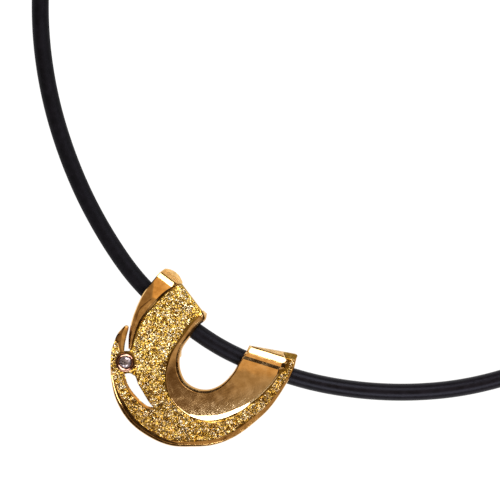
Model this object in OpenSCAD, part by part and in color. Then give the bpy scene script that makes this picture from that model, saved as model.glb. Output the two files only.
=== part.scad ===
// Necklace lying on a table: a gold horseshoe slide pendant with one diamond, on a round rubber cord.
// Millimetres. The origin is the middle of the neck loop on the table, and +Z is up.

/* [Neck cord] */
// Diameter of the rubber cord
cord_d = 3; // [2.8:0.1:3]

/* [Pendant] */
// Height of the face above the table where the arms carry the cord
face_h = 5.3; // [5.2:0.1:5.6]
// How far the face drops from the arms to the far rim
face_drop = 3.2; // [2.6:0.1:3.4]
// Thickness of the cast gold
wall = 1.4; // [1.2:0.1:1.8]
// Depth of the polished rim below the face
rim_depth = 2; // [1.6:0.1:2.2]
// Height of the largest nuggets on the textured gold
relief = 0.4; // [0.2:0.05:0.6]
// How far the polished crescent stands proud of the textured gold
crescent_rise = 0.35; // [0.2:0.05:0.6]
// Height of the crease along the polished blade
blade_rise = 0.7; // [0.4:0.1:1]

/* [Bails] */
// Thickness of the sheet that folds round the cord
bail_wall = 0.7; // [0.6:0.05:0.8]
// Depth of the left arm's fold, from its top edge
left_reach = 8.4; // [8.4:0.1:9]
// Depth of the right arm's fold, from its top edge
right_reach = 6.6; // [6.6:0.1:7.4]

/* [Stone] */
// Diameter of the diamond
stone_d = 2.2; // [2:0.1:2.4]
// Outside diameter of the bezel
bezel_d = 3.2; // [3:0.1:3.6]
// Height of the bezel above the gold round it
bezel_rise = 0.9; // [0.6:0.1:1.2]

/* [Clasp] */
// Diameter of the barrel
clasp_d = 5; // [4.6:0.1:5.4]
// Length of the barrel
clasp_len = 14; // [13:0.5:18]

/* [Hidden] */

gold = "goldenrod";
cord_r = cord_d / 2;

// The pendant's own middle, seen from the middle of the loop
pendant_at = [-34.9, -62.1, 0];
// A height above the whole pendant
clear_h = 8;
// Spacing of the surface points on textured and on polished gold
fine_cell = 0.6;
plain_cell = 2;
// Edge of the square that the pendant's surfaces are worked out over, about its own middle
half_square = 17.83;
// How far the face runs on from the arms before it starts to drop, and over what length it drops
crown_at = 8;
drop_run = 25;

// Edges of the pendant, clockwise from the top of the left arm, as points on its own middle
left_top = [[-7.6, 14.6], [-6.1, 15.3], [-5.4, 15.1], [-3.7, 13.2], [-2, 10.2], [0, 8.1], [0.6, 7.4],
    [0.3, 6.5]];
opening_edge = [[-0.8, 5.4], [-3.7, 1.4], [-4.2, -1.6], [-3.5, -3.9], [-2.2, -5.1], [0.2, -5.8],
    [2.2, -5.4], [3.9, -4.2], [6.3, -0.8], [7.9, 1.8]];
right_top = [[11.2, 1.2], [13.9, 0.7], [16.1, 0.6], [16.4, 0.3]];
outer_edge = [[16.1, -0.6], [15.6, -2.4], [14.2, -5.1], [11.6, -8.9], [8.4, -11.9], [5.1, -14.2],
    [1.6, -15.5], [-2, -15.8], [-6, -15.6], [-9.8, -14], [-13.1, -11.4], [-15.3, -7.8], [-16.2, -3.8],
    [-16.2, 0.3], [-15.7, 2.3], [-15, 3.9], [-13.7, 5.3]];
upper_slit = [[-13.1, 5.1], [-13.4, 3.8], [-13.8, 1.9], [-13.9, 0.9], [-12.9, 0.8]];
arm_side = [[-13, 3.8], [-12.3, 7], [-10.8, 10.4], [-9.3, 12.4]];
slot_left = [[-13.8, -3.1], [-13.4, -4.6], [-12.7, -5.9], [-11.8, -7], [-10.8, -8], [-9.8, -8.7],
    [-8.8, -8.9]];
slot_right = [[-9.6, -8], [-10.8, -6], [-11.5, -4.8], [-12, -3.5], [-12.9, -3]];
crescent_edge = [[0.3, 6.8], [-2.2, 5.5], [-5.4, 0.9], [-6.6, -3.5], [-5.7, -7.4], [-2.2, -10.4],
    [2.7, -10.9], [8.8, -7.7], [13.2, -3.1], [14.8, -0.8]];
crescent_end = [[15, 0.2], [7.9, 1.2]];

// The blade, from the top of the left arm to its point: columns are its left side, crease and right side
blade = [
    [[-8.6, 13.3], [-7.2, 12.8], [-5.4, 12.1]],
    [[-10.7, 10.4], [-9.6, 10], [-8.3, 9.4]],
    [[-12.1, 7], [-11.5, 6.9], [-10.7, 6.7]],
    [[-12.9, 3.8], [-12.5, 3.8], [-11.9, 3.9]],
    [[-13, 1.2], [-12.9, 1.2], [-12.7, 1.2]]];

// The folded top edges of the arms, from right to left
left_fold = [[0.5, 7], [-5.6, 15]];
right_fold = [[16.2, 0.4], [7.9, 1.9]];

// The stone's middle
stone_at = [-13.7, -1.05];

// Middle of the clasp, its turn about Z and how deep each cord end goes into it
clasp_at = [29.5, 59.3];
clasp_turn = 150;
socket = 4.2;
socket_gap = 0.1;

// The cord's route from one end in the clasp, round by the left, to the other end
route = [
    [26.9, 60.8, 2.5], [22.6, 63.3, 2.5], [17.6, 65.4, 2.2], [7.2, 67.8, 1.7], [-4.8, 68.1, 1.5],
    [-16.4, 66, 1.5], [-27.3, 61.7, 1.5], [-37.3, 55.3, 1.5], [-45.9, 47.2, 1.5], [-52.9, 37.6, 1.5],
    [-58.3, 26.7, 1.5], [-61.8, 14.8, 1.5], [-63.4, 2.3, 1.5], [-62.9, -10.1, 1.5],
    [-60.2, -22.6, 1.5], [-55.2, -35.2, 1.6], [-48.1, -46.8, 2.1], [-40.8, -54.2, 2.35],
    [-31.4, -60.9, 2.35], [-20, -65.5, 2.25], [-9.6, -67.8, 1.7], [1.4, -68.4, 1.5],
    [12.2, -67.2, 1.5], [23, -63.9, 1.5], [33.4, -58.3, 1.5], [42.8, -50.5, 1.5], [50.8, -40.8, 1.5],
    [57, -29.6, 1.5], [61.2, -17.3, 1.5], [63.3, -4.5, 1.5], [63.2, 8.5, 1.5], [60.9, 21.2, 1.5],
    [56.4, 33, 1.5], [49.8, 43.7, 1.7], [41, 52.2, 2.2], [36.4, 55.3, 2.5], [32.1, 57.8, 2.5]];
route_steps = 2;
tube_sides = 8;

// A point on the smooth curve from b to c, where a comes before b and d after c
function between(a, b, c, d, t) =
    0.5 * (2 * b + (c - a) * t + (2 * a - 5 * b + 4 * c - d) * t * t
    + (3 * b - a - 3 * c + d) * t * t * t);

// A smooth curve through points, with a number of steps in each stretch
function smooth(p, steps) = let (last = len(p) - 1) concat(
    [for (i = [0:last - 1])
        for (k = [0:steps - 1])
            between(
                i == 0 ? 2 * p[0] - p[1] : p[i - 1], p[i], p[i + 1],
                i + 1 == last ? 2 * p[last] - p[last - 1] : p[i + 2], k / steps)],
    [p[last]]);

function unit(v) = v / norm(v);

// The faces of a solid made of rings of points, with flat ends
function ring_faces(rings, sides) = concat(
    [for (i = [0:rings - 2])
        for (k = [0:sides - 1])
            let (n = (k + 1) % sides)
                [i * sides + k, (i + 1) * sides + k, (i + 1) * sides + n, i * sides + n]],
    [[for (k = [0:sides - 1]) k]],
    [[for (k = [sides - 1:-1:0]) (rings - 1) * sides + k]]);

// The points of a round tube along a path, one corner of each ring at its lowest point
function tube_points(path, radius) = [for (i = [0:len(path) - 1])
    let (
        ahead = unit(path[min(i + 1, len(path) - 1)] - path[max(i - 1, 0)]),
        side = unit(cross([0, 0, 1], ahead)),
        up = cross(ahead, side))
        for (k = [0:tube_sides - 1])
            path[i] + radius * (sin(k * 360 / tube_sides) * side - cos(k * 360 / tube_sides) * up)];

// Height of the smooth face over the table: level at the arms, dropping to the far rim
function face_z(x, y) =
    face_h - face_drop * pow(max(0, crown_at - (x + y) / sqrt(2)) / drop_run, 2);

// Width of a nugget, how far one strays inside its cell, and the lowest one's share of the relief
nugget = 1.5;
stray = 0.6;
lowest = 0.45;

// One nugget for each cell of a square net: its middle and its height, the same at every build
function nugget_in(i, j) = let (r = rands(0, 1, 3, 4000 + 97 * i + j))
    [(i + 0.5 + stray * (r[0] - 0.5)) * nugget, (j + 0.5 + stray * (r[1] - 0.5)) * nugget,
        lowest + (1 - lowest) * r[2]];

// Height of the cast relief: the tallest of the domed nuggets round a point
function relief_z(x, y) = let (i = floor(x / nugget), j = floor(y / nugget))
    relief * max([for (a = [i - 1:i + 1])
        for (b = [j - 1:j + 1])
            let (n = nugget_in(a, b))
                n[2] * max(0, 1 - pow(norm([x - n[0], y - n[1]]) / nugget, 2))]);

// A block over the pendant's square, flat below and shaped by a height function on top
module height_block(cell, base, top) {
    n = ceil(2 * half_square / cell);
    step = 2 * half_square / n;
    across = n + 1;
    grid = [for (j = [0:n]) for (i = [0:n])
        let (x = i * step - half_square, y = j * step - half_square) [x, y, top(x, y)]];
    rim_at = concat(
        [for (i = [0:n - 1]) i], [for (j = [0:n - 1]) j * across + n],
        [for (i = [n:-1:1]) n * across + i], [for (j = [n:-1:1]) j * across]);
    low = [for (k = rim_at) [grid[k].x, grid[k].y, base]];
    count = len(rim_at);
    first = across * across;
    polyhedron(
        points = concat(grid, low),
        faces = concat(
            [for (j = [0:n - 1]) for (i = [0:n - 1]) let (a = j * across + i) [a, a + across, a + 1]],
            [for (j = [0:n - 1]) for (i = [0:n - 1])
                let (a = j * across + i) [a + 1, a + across, a + across + 1]],
            [for (k = [0:count - 1])
                let (n2 = (k + 1) % count) [rim_at[k], rim_at[n2], first + n2, first + k]],
            [[for (k = [0:count - 1]) first + k]]),
        convexity = 6);
}

// The pendant's outline, with its opening and the slit that is open at the top
module horseshoe() {
    difference() {
        polygon(concat(
            left_top, smooth(opening_edge, 3), right_top, smooth(outer_edge, 3), upper_slit, arm_side));
        polygon(concat(smooth(slot_left, 2), slot_right));
    }
}

// The polished crescent, which runs on over the opening and the arm ends to be cut off there
module crescent_outline() {
    polygon(concat(
        smooth(crescent_edge, 3), crescent_end,
        [for (i = [len(opening_edge) - 2:-1:0]) 0.9 * opening_edge[i]]));
}

// The flat loop that a folded arm end makes, seen from its side, with its walls or without
module fold_profile(reach, shrink) {
    taper = 0.25;
    near = face_h / 2;
    far = near - taper;
    hull() {
        translate([near, near]) circle(near - shrink, $fn = 24);
        translate([reach - far, far]) circle(far - shrink, $fn = 24);
    }
}

// How far the shapes of a folded edge run on past its ends
past = 4;

// The frame of a folded edge: its right end, with X along it
module at_edge(line) {
    turn = atan2(line[1].y - line[0].y, line[1].x - line[0].x);
    translate([line[0].x, line[0].y, 0])
        rotate([0, 0, turn])
        translate([-past, 0, 0])
        children();
}

module fold(line, reach, shrink) {
    at_edge(line)
        rotate([90, 0, 90])
        linear_extrude(norm(line[1] - line[0]) + 2 * past)
        fold_profile(reach, shrink);
}

// What of a sheet would stand square past the round of a folded edge
module past_fold(line) {
    at_edge(line)
        translate([0, -past, -2])
        cube([norm(line[1] - line[0]) + 2 * past, past + face_h / 2, clear_h + 4]);
}

// The cast sheet: textured gold, and on it the smooth crescent round the opening. The blocks start at
// different depths, so that no two faces fall in one plane, and the last one cuts them all.
module face_sheet() {
    difference() {
        intersection() {
            translate([0, 0, -0.5]) linear_extrude(clear_h) horseshoe();
            union() {
                height_block(fine_cell, -0.7, function (x, y) face_z(x, y) + relief_z(x, y) - relief / 2);
                intersection() {
                    translate([0, 0, -0.6]) linear_extrude(clear_h) crescent_outline();
                    height_block(plain_cell, -0.8, function (x, y) face_z(x, y) + crescent_rise);
                }
            }
        }
        height_block(plain_cell, -1, function (x, y) face_z(x, y) - wall);
        past_fold(left_fold);
        past_fold(right_fold);
    }
}

// The polished rim: short rounded stretches along the outer edge, from the right arm to the left side
module rim() {
    band = 0.9;
    first_point = 1;
    last_point = 12;
    edge = smooth(outer_edge, 2);
    inner = [for (i = [2 * first_point:2 * last_point])
        let (ahead = unit(edge[i + 1] - edge[i - 1])) edge[i] + band / 2 * [ahead.y, -ahead.x]];
    for (i = [0:len(inner) - 2])
        hull()
            for (p = [inner[i], inner[i + 1]]) {
                top = face_z(p.x, p.y);
                low = max(0, top - rim_depth);
                translate([p.x, p.y, low]) cylinder(h = top - low, d = band, $fn = 8);
            }
}

// The blade stands on a foot sunk in the sheet; its sides are low and its crease rises with its width
module left_blade() {
    sunk = 0.8;
    side_h = 0.1;
    full_width = 3;
    rows = [for (row = smooth(blade, 3)) let (
        left = row[0],
        crease = row[1],
        right = row[2],
        face = face_z(crease.x, crease.y))
        [[left.x, left.y, face - sunk], [right.x, right.y, face - sunk],
            [right.x, right.y, face + side_h],
            [crease.x, crease.y, face + blade_rise * norm(right - left) / full_width],
            [left.x, left.y, face + side_h]]];
    polyhedron(
        points = [for (row = rows) each row],
        faces = ring_faces(len(rows), 5),
        convexity = 4);
}

bezel_top = face_z(stone_at.x, stone_at.y) + bezel_rise;

module bezel() {
    bezel_h = 2;
    translate([stone_at.x, stone_at.y, bezel_top - bezel_h]) cylinder(h = bezel_h, d = bezel_d, $fn = 32);
}

// The round seat that the stone drops into, open at the top
module stone_seat() {
    seat_depth = 1.3;
    seat_gap = 0.08;
    translate([stone_at.x, stone_at.y, bezel_top - seat_depth])
        cylinder(h = seat_depth + 1, d = stone_d + 2 * seat_gap, $fn = 32);
}

module pendant() {
    color(gold)
        translate(pendant_at)
        difference() {
            union() {
                face_sheet();
                rim();
                left_blade();
                bezel();
                intersection() {
                    linear_extrude(clear_h) horseshoe();
                    union() {
                        fold(left_fold, left_reach, 0);
                        fold(right_fold, right_reach, 0);
                    }
                }
            }
            fold(left_fold, left_reach, bail_wall);
            fold(right_fold, right_reach, bail_wall);
            stone_seat();
        }
}

// A round brilliant: an eight-sided table, a ring of crown corners, a thin girdle and a point below
module diamond() {
    crown_h = 0.3;
    crown_corner_h = 0.16;
    pavilion_h = 0.95;
    girdle_h = 0.06;
    thin = 0.02;
    color("lavender")
        translate(pendant_at + [stone_at.x, stone_at.y, bezel_top - crown_h])
        hull() {
            translate([0, 0, crown_h]) cylinder(h = thin, r = 0.27 * stone_d, $fn = 8);
            rotate(22.5) translate([0, 0, crown_corner_h]) cylinder(h = thin, r = 0.4 * stone_d, $fn = 8);
            translate([0, 0, -girdle_h]) cylinder(h = girdle_h, r = 0.5 * stone_d, $fn = 16);
            translate([0, 0, -pavilion_h])
                cylinder(h = pavilion_h - girdle_h, r1 = thin, r2 = 0.45 * stone_d, $fn = 8);
        }
}

module neck_cord() {
    path = smooth(route, route_steps);
    color("black")
        polyhedron(
            points = tube_points(path, cord_r),
            faces = ring_faces(len(path), tube_sides),
            convexity = 8);
}

// A plain barrel with a round hole in each end for the cord
module clasp() {
    edge = 0.6;
    half = clasp_len / 2;
    color(gold)
        translate([clasp_at.x, clasp_at.y, clasp_d / 2])
        rotate([0, 90, clasp_turn])
        rotate_extrude($fn = 48)
        polygon([
            [0, half - socket], [cord_r + socket_gap, half - socket], [cord_r + socket_gap, half],
            [clasp_d / 2 - edge, half], [clasp_d / 2, half - edge], [clasp_d / 2, edge - half],
            [clasp_d / 2 - edge, -half], [cord_r + socket_gap, -half],
            [cord_r + socket_gap, socket - half], [0, socket - half]]);
}

pendant();
diamond();
neck_cord();
clasp();
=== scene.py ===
import math

import bmesh
import bpy
import numpy as np
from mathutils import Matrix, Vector
from mathutils.geometry import delaunay_2d_cdt
from mathutils.kdtree import KDTree


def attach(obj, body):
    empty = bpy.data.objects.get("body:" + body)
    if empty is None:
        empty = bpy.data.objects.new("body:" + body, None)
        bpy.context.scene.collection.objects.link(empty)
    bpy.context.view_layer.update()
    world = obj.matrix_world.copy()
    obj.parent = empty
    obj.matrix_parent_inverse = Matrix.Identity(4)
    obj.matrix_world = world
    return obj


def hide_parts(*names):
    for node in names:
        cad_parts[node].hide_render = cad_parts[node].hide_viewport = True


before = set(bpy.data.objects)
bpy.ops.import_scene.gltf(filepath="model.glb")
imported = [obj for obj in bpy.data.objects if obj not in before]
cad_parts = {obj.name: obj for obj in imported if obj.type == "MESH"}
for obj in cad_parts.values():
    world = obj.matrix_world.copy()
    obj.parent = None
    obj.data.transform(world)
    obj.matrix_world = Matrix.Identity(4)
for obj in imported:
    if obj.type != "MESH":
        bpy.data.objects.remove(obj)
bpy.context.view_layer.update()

# The camera hangs straight over the necklace, far off, and shows 87.2 mm of it. The background of the
# photograph is plain white, so the colours are shown as they are, without a film look.
camera_height = 1.5
cord_top = 0.003
seen_width = 0.0872
sensor_width = 36
camera = bpy.data.objects.new("camera", bpy.data.cameras.new("camera"))
camera.location = (-0.02686, -0.0436, camera_height)
camera.data.sensor_width = sensor_width
camera.data.lens = sensor_width * (camera_height - cord_top) / seen_width
bpy.context.scene.collection.objects.link(camera)
bpy.context.scene.camera = camera
bpy.context.scene.view_settings.view_transform = "Standard"


# The neck cord is one length of solid black rubber, 3 mm round. It is moulded smooth and matt, lies in
# a closed loop on the table, rises through the pendant's two bails, and its ends go into the clasp.
cord_thick = 3
cord_route = [
    [26.9, 60.8, 2.5], [22.6, 63.3, 2.5], [17.6, 65.4, 2.2], [7.2, 67.8, 1.7], [-4.8, 68.1, 1.5],
    [-16.4, 66, 1.5], [-27.3, 61.7, 1.5], [-37.3, 55.3, 1.5], [-45.9, 47.2, 1.5], [-52.9, 37.6, 1.5],
    [-58.3, 26.7, 1.5], [-61.8, 14.8, 1.5], [-63.4, 2.3, 1.5], [-62.9, -10.1, 1.5],
    [-60.2, -22.6, 1.5], [-55.2, -35.2, 1.6], [-48.1, -46.8, 2.1], [-40.8, -54.2, 2.35],
    [-31.4, -60.9, 2.35], [-20, -65.5, 2.25], [-9.6, -67.8, 1.7], [1.4, -68.4, 1.5],
    [12.2, -67.2, 1.5], [23, -63.9, 1.5], [33.4, -58.3, 1.5], [42.8, -50.5, 1.5], [50.8, -40.8, 1.5],
    [57, -29.6, 1.5], [61.2, -17.3, 1.5], [63.3, -4.5, 1.5], [63.2, 8.5, 1.5], [60.9, 21.2, 1.5],
    [56.4, 33, 1.5], [49.8, 43.7, 1.7], [41, 52.2, 2.2], [36.4, 55.3, 2.5], [32.1, 57.8, 2.5]]


def eased(points, steps):
    """A smooth curve through points, with a number of steps in each stretch."""
    p = np.array(points, float)
    p = np.vstack([2 * p[0] - p[1], p, 2 * p[-1] - p[-2]])
    out = []
    for a, b, c, d in zip(p, p[1:], p[2:], p[3:]):
        for k in range(steps):
            t = k / steps
            out.append(0.5 * (2 * b + (c - a) * t + (2 * a - 5 * b + 4 * c - d) * t ** 2
                              + (3 * b - a - 3 * c + d) * t ** 3))
    return np.array(out + [p[-2]])


def new_tree(name, sizes):
    """An empty Geometry Nodes tree with named inputs, and the identifiers of those inputs."""
    tree = bpy.data.node_groups.new(name, "GeometryNodeTree")
    tree.interface.new_socket("Geometry", in_out="INPUT", socket_type="NodeSocketGeometry")
    keys = {}
    for label, (kind, value) in sizes.items():
        socket = tree.interface.new_socket(label, in_out="INPUT", socket_type="NodeSocket" + kind)
        keys[label] = (socket.identifier, value)
    tree.interface.new_socket("Geometry", in_out="OUTPUT", socket_type="NodeSocketGeometry")
    return tree, keys, tree.nodes.new("NodeGroupInput").outputs


def put(tree, kind, feeds=None, **settings):
    """One node with its settings, its plain inputs and the sockets that feed the others."""
    made = tree.nodes.new(kind)
    for key, value in settings.items():
        setattr(made, key, value)
    for key, value in (feeds or {}).items():
        if isinstance(value, bpy.types.NodeSocket):
            tree.links.new(value, made.inputs[key])
        else:
            made.inputs[key].default_value = value
    return made


def sums(tree, operation, *values):
    """The result of a sum on numbers or sockets."""
    return put(tree, "ShaderNodeMath", dict(enumerate(values)), operation=operation).outputs[0]


def vectors(tree, operation, one, other):
    """The result of a sum on two vectors, or on a vector and the number that scales it."""
    return put(tree, "ShaderNodeVectorMath", {0: one, "Scale" if operation == "SCALE" else 1: other},
               operation=operation).outputs[0]


def mixed(tree, share, one, colour, blend="MIX"):
    """The colour of a socket, mixed with a plain colour by a share."""
    return put(tree, "ShaderNodeMix", {"Factor": share, "A": one, "B": (*colour, 1)},
               data_type="RGBA", blend_type=blend).outputs[2]


def two_tones(tree, pattern, low_at, low, high_at, high):
    """A colour that goes from one tone to the other while a pattern rises between two levels."""
    ramp = put(tree, "ShaderNodeValToRGB", {"Fac": pattern})
    for end, at, colour in zip(ramp.color_ramp.elements, (low_at, high_at), (low, high)):
        end.position, end.color = at, (*colour, 1)
    return ramp.outputs["Color"]


def new_finish(name):
    """A new material, its nodes and its Principled shader."""
    finish = bpy.data.materials.new(name)
    finish.use_nodes = True
    return finish, finish.node_tree, finish.node_tree.nodes["Principled BSDF"]


def on_object(tree):
    """The place on the object, which every pattern is worked out from."""
    return put(tree, "ShaderNodeTexCoord").outputs["Object"]


def end_tree(tree, geometry, finish):
    """Ends a tree in real geometry with its material."""
    real = put(tree, "GeometryNodeRealizeInstances", {"Geometry": geometry})
    dressed = put(tree, "GeometryNodeSetMaterial", {"Geometry": real.outputs[0], "Material": finish})
    tree.links.new(dressed.outputs[0], tree.nodes.new("NodeGroupOutput").inputs[0])


def shown(name, mesh):
    """A new object for a mesh, in the scene."""
    piece = bpy.data.objects.new(name, mesh)
    bpy.context.scene.collection.objects.link(piece)
    return piece


def worked_out(piece, tree, keys):
    """Runs a tree on a piece and keeps the result as its plain mesh."""
    run = piece.modifiers.new("run", "NODES")
    run.node_group = tree
    for identifier, value in keys.values():
        run[identifier] = value
    ready = piece.evaluated_get(bpy.context.evaluated_depsgraph_get())
    mesh = bpy.data.meshes.new_from_object(ready)
    piece.modifiers.clear()
    piece.data = mesh
    return piece


def matt_rubber():
    """Black rubber: a faint violet sheen, a painted sheen that lightens its colour to the right, glossier to
    the right, and a fine moulding grain.
    """
    finish, tree, skin = new_finish("matt_rubber")
    place = on_object(tree)
    cloud = put(tree, "ShaderNodeTexNoise", {"Vector": place, "Scale": 900, "Detail": 4}).outputs["Fac"]
    right = put(tree, "ShaderNodeSeparateXYZ", {0: place}).outputs["X"]
    # Painted sheen: the rubber's colour grows lighter towards the right
    painted_sheen = put(tree, "ShaderNodeMapRange", {"Value": right, "From Min": -0.05, "From Max": 0.01,
                                             "To Min": -0.2, "To Max": 0.15}).outputs[0]
    tone = two_tones(tree, sums(tree, "ADD", cloud, painted_sheen),
                     0.2, (0.0012, 0.0008, 0.0009), 1.0, (0.010, 0.0085, 0.013))
    tree.links.new(tone, skin.inputs["Base Color"])
    gloss = put(tree, "ShaderNodeMapRange", {"Value": cloud, "To Min": -0.04, "To Max": 0.06}).outputs[0]
    wear_and_glint = put(tree, "ShaderNodeMapRange", {"Value": right, "From Min": -0.045, "From Max": -0.015,
                                            "To Min": 0.6, "To Max": 0.34}).outputs[0]
    tree.links.new(sums(tree, "ADD", gloss, wear_and_glint), skin.inputs["Roughness"])
    grain = put(tree, "ShaderNodeTexNoise", {"Vector": place, "Scale": 6000, "Detail": 3})
    bump = put(tree, "ShaderNodeBump", {"Height": grain.outputs["Fac"], "Strength": 0.25,
                                        "Distance": 0.00003})
    tree.links.new(bump.outputs["Normal"], skin.inputs["Normal"])
    skin.inputs["Specular IOR Level"].default_value = 0.14
    skin.inputs["Specular Tint"].default_value = (0.7, 0.74, 1, 1)
    return finish


path = eased(cord_route, 14) / 1000
line = bpy.data.meshes.new("neck_cord_line")
line.from_pydata(path.tolist(), [(i, i + 1) for i in range(len(path) - 1)], [])
tree, keys, given = new_tree("round_cord", {
    "Radius": ("Float", cord_thick / 2000), "Sides": ("Int", 40)})
curve = put(tree, "GeometryNodeMeshToCurve", {"Mesh": given["Geometry"]}).outputs[0]
curve = put(tree, "GeometryNodeSetCurveNormal", {"Curve": curve}, mode="Z_UP").outputs[0]
ring = put(tree, "GeometryNodeCurvePrimitiveCircle",
           {"Resolution": given["Sides"], "Radius": given["Radius"]}).outputs[0]
tube = put(tree, "GeometryNodeCurveToMesh", {"Curve": curve, "Profile Curve": ring, "Fill Caps": True})
end_tree(tree, tube.outputs[0], matt_rubber())
neck_cord = worked_out(shown("neck_cord_round", line), tree, keys)
neck_cord.data.shade_smooth()
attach(neck_cord, "root")
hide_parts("neck_cord")


# The textured gold is the pendant's main body: a cast horseshoe of 14 carat gold, 1.4 mm thick, with a
# slit down its left side. Its face is covered in melted nuggets, and both arm ends roll over the cord.
pendant_at = np.array([-34.9, -62.1])
stone_at = (-13.7, -1.05)
face_h = 5.3
face_drop = 3.2
crown_at = 8
drop_run = 25
wall = 1.4
strap_over_cord = 0.68
roll_end = 2.72
outer_edge = eased([
    [16.4, 0.3], [16.1, -0.6], [15.6, -2.4], [14.2, -5.1], [11.6, -8.9], [8.4, -11.9], [5.1, -14.2],
    [1.6, -15.5], [-2, -15.8], [-6, -15.6], [-9.8, -14], [-13.1, -11.4], [-15.3, -7.8], [-16.2, -3.8],
    [-16.2, 0.3], [-15.7, 2.3], [-15, 3.9], [-13.7, 5.3]], 10)
upper_slit = eased([[-13.1, 5.1], [-13.4, 3.8], [-13.8, 1.9], [-13.9, 0.9]], 6)
arm_side = eased([[-12.9, 0.8], [-12.9, 1.6], [-12.6, 3.8], [-11.8, 7], [-10.3, 10.3], [-8.9, 12.3],
                  [-7.3, 14.1]], 6)
slot = np.vstack([
    eased([[-13.8, -3.1], [-13.4, -4.6], [-12.7, -5.9], [-11.8, -7], [-10.8, -8], [-9.8, -8.7],
           [-8.8, -8.9]], 6),
    eased([[-8.8, -8.9], [-9.6, -8], [-10.8, -6], [-11.5, -4.8], [-12, -3.5], [-12.9, -3],
           [-13.8, -3.1]], 6)[1:-1]])
# Across the crescent, from its outer edge to the opening, in pairs from the left arm's end to the right
crescent_pairs = np.array([
    [[-0.1, 8.0], [0.55, 7.4]], [[-1.1, 6.7], [0.25, 6.3]], [[-2.2, 5.5], [-0.9, 5.3]],
    [[-3.8, 3.3], [-2.5, 3.2]], [[-5.4, 0.9], [-3.7, 1.4]], [[-6.2, -1.3], [-4.2, -0.5]],
    [[-6.6, -3.5], [-4.1, -2.3]], [[-6.4, -5.6], [-3.5, -3.9]], [[-5.7, -7.4], [-2.7, -4.8]],
    [[-4.3, -9.1], [-1.7, -5.4]], [[-2.2, -10.5], [-0.6, -5.75]], [[0.3, -11.2], [0.7, -5.8]],
    [[2.9, -11.05], [1.9, -5.5]], [[5.9, -9.85], [3.1, -4.85]], [[8.8, -7.75], [4.2, -3.9]],
    [[11.2, -5.5], [5.2, -2.7]], [[13.1, -3.2], [6.0, -1.3]]])
crescent_end = np.array([[[13.1, -3.2], [6.0, -1.3]], [[14.3, -1.8], [6.8, 0.0]],
                         [[14.8, -0.7], [7.5, 1.0]], [[14.45, 0.3], [7.8, 1.6]],
                         [[14.2, 0.72], [7.95, 1.87]]])

# Each folded edge: two points on it, how far its fold runs along it, and how deep the bail goes in. The
# one named gloss is the right edge again, where the polished crescent rolls over it.
folds = {
    "left": {"ends": ([0.5, 7], [-5.6, 15]), "run": (-3, 13), "reach": 8.4},
    "right": {"ends": ([16.2, 0.4], [7.9, 1.9]), "run": (-3, 11.4), "reach": 6.6},
    "gloss": {"ends": ([15.54, -0.47], [7.9, 1.9]), "run": (-3, 11.4)}}


def face_z(x, y):
    """Height of the smooth face: level at the arms, dropping to the far rim."""
    return face_h - face_drop * (np.maximum(0, crown_at - (x + y) / math.sqrt(2)) / drop_run) ** 2


def from_fold(side, x, y):
    """How far inside a folded edge a point lies, how far along it, and where it belongs to the fold."""
    a, b = np.array(folds[side]["ends"], float)
    along = (b - a) / np.linalg.norm(b - a)
    t = (x - a[0]) * -along[1] + (y - a[1]) * along[0]
    u = (x - a[0]) * along[0] + (y - a[1]) * along[1]
    low, high = folds[side]["run"]
    return t, u, (u > low) & (u < high)


def cut_at(side, line, depths):
    """The points of a line at given distances inside a folded edge."""
    t = from_fold(side, line[:, 0], line[:, 1])[0]
    order = np.argsort(t)
    return np.column_stack([np.interp(depths, t[order], line[order, k]) for k in (0, 1)])


def drop_by(slopes):
    """The drop of a surface at each distance from a fold, worked out from its slope in degrees."""
    t = np.linspace(slopes[0][0], slopes[-1][0], 4000)
    known = np.array(slopes)[::-1]
    tilt = np.tan(np.radians(np.interp(t, known[:, 0], known[:, 1])))
    drop = np.concatenate([[0], np.cumsum((tilt[1:] + tilt[:-1]) / 2 * -np.diff(t))])
    return t[::-1], drop[::-1]


# How the polished gold rolls over the cord, as distances inside the fold with the slope there
polished_roll = {
    "left": drop_by([(1.8, 0), (1.0, 10), (0.95, 17), (0.45, 28), (0.43, 37), (0.15, 39), (0.13, 47),
                     (-0.3, 52)]),
    "gloss": drop_by([(6, 0), (4.2, 5), (2.561, 8), (2.56, -35), (1.961, -35), (1.96, 9), (1.26, 11),
                      (1.25, 17), (0.261, 28), (0.26, 39), (-0.02, 39), (-0.021, 47), (-0.9, 47)])}
fold_cuts = np.array([3.1, 2.8, 2.561, 2.26, 1.96, 1.6, 1.255, 0.95, 0.6, 0.26, 0.12, -0.02, -0.2,
                      -0.35, -0.5, -0.62, -0.74])
crescent_rows = eased(crescent_pairs.reshape(-1, 4), 12).reshape(-1, 2, 2)
crescent_rows = np.vstack([crescent_rows, np.stack([
    cut_at("gloss", eased(crescent_end[:, k], 12), fold_cuts) for k in (0, 1)], axis=1)])
cast_roll = {"left": drop_by([(2.3, 0), (1.2, 14), (0.5, 26), (0.25, 38), (0.1, 60), (-0.2, 82)]),
             "right": drop_by([(1.5, 0), (1.1, 9), (1.05, 43), (0.3, 46), (-0.2, 60)])}


def rolled(x, y, top, roll):
    """The height that a surface gets where it rolls over the cord, from its height before that."""
    z = np.array(top, float)
    for side, (known_t, known_drop) in roll.items():
        t, _, near = from_fold(side, x, y)
        z = np.where(near & (t < known_t[-1]), top - np.interp(t, known_t, known_drop), z)
    return np.maximum(z, roll_end)


def under_z(x, y, thick):
    """Height of the underside, thinner over the cord and bent down round it."""
    z = face_z(x, y) - thick
    for side in ("left", "right"):
        t, _, near = from_fold(side, x, y)
        thick_from = folds[side]["reach"] + 1.2
        flat = face_z(x, y) - np.interp(t, [thick_from - 1, thick_from], [strap_over_cord, thick])
        middle = face_h / 2
        bent = middle + np.sqrt(np.maximum(0, (middle - strap_over_cord) ** 2 - (middle - t) ** 2))
        z = np.where(near & (t < thick_from), np.where(t < middle, bent, flat), z)
    return z


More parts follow.
